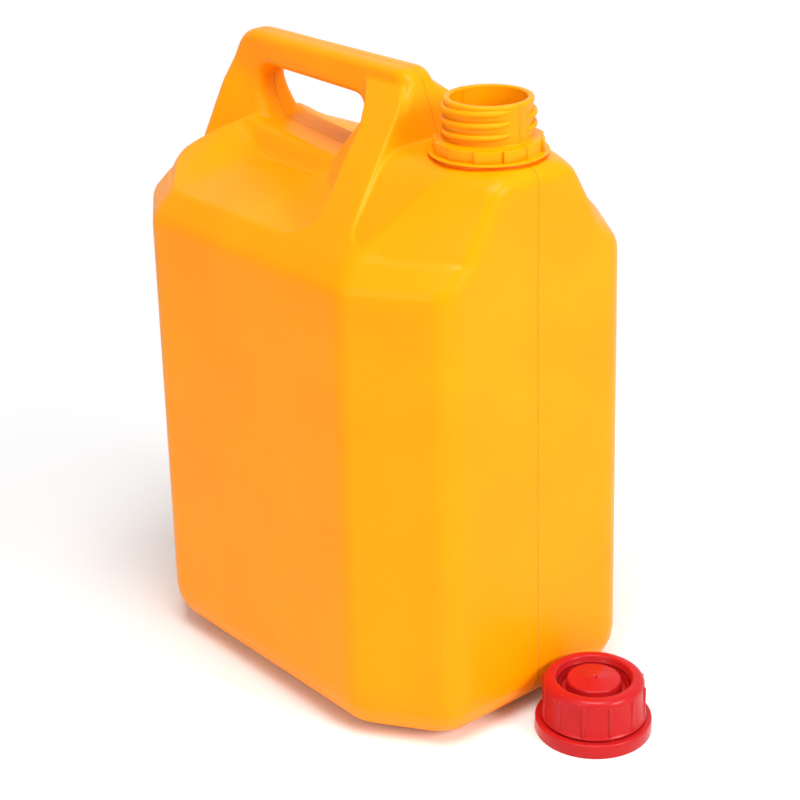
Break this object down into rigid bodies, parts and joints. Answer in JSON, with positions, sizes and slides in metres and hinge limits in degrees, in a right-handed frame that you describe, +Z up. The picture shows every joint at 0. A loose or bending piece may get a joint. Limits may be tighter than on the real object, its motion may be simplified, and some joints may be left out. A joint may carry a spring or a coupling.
{
  "type": "jerrycan",
  "caption": "Blow-moulded plastic jerrycan with chamfered corners, through-handle and threaded pouring neck, its tamper-ring screw cap standing in front.",
  "frame": {"origin": "middle of the can's base, on the surface that it stands on", "axes": "+Z up, -Y towards the narrow front with the neck, X across the can, square to its parting plane"},
  "size_m": [0.1446, 0.2482, 0.2675],
  "materials": {
    "hdpe_orange": "blow-moulded polyethylene, satin",
    "pp_red": "injection-moulded polypropylene, glossy",
    "pe_seal": "pale foamed polyethylene"
  },
  "bodies": {
    "can": {"can": "hdpe_orange"},
    "cap": {"cap": "pp_red", "seal": "pe_seal"}
  },
  "joints": [
    {"name": "cap_lift", "type": "slide", "parent": "can", "child": "cap", "axis": [0, -0.1961, 0.9806], "range_m": [0, 0.33]}
  ]
}
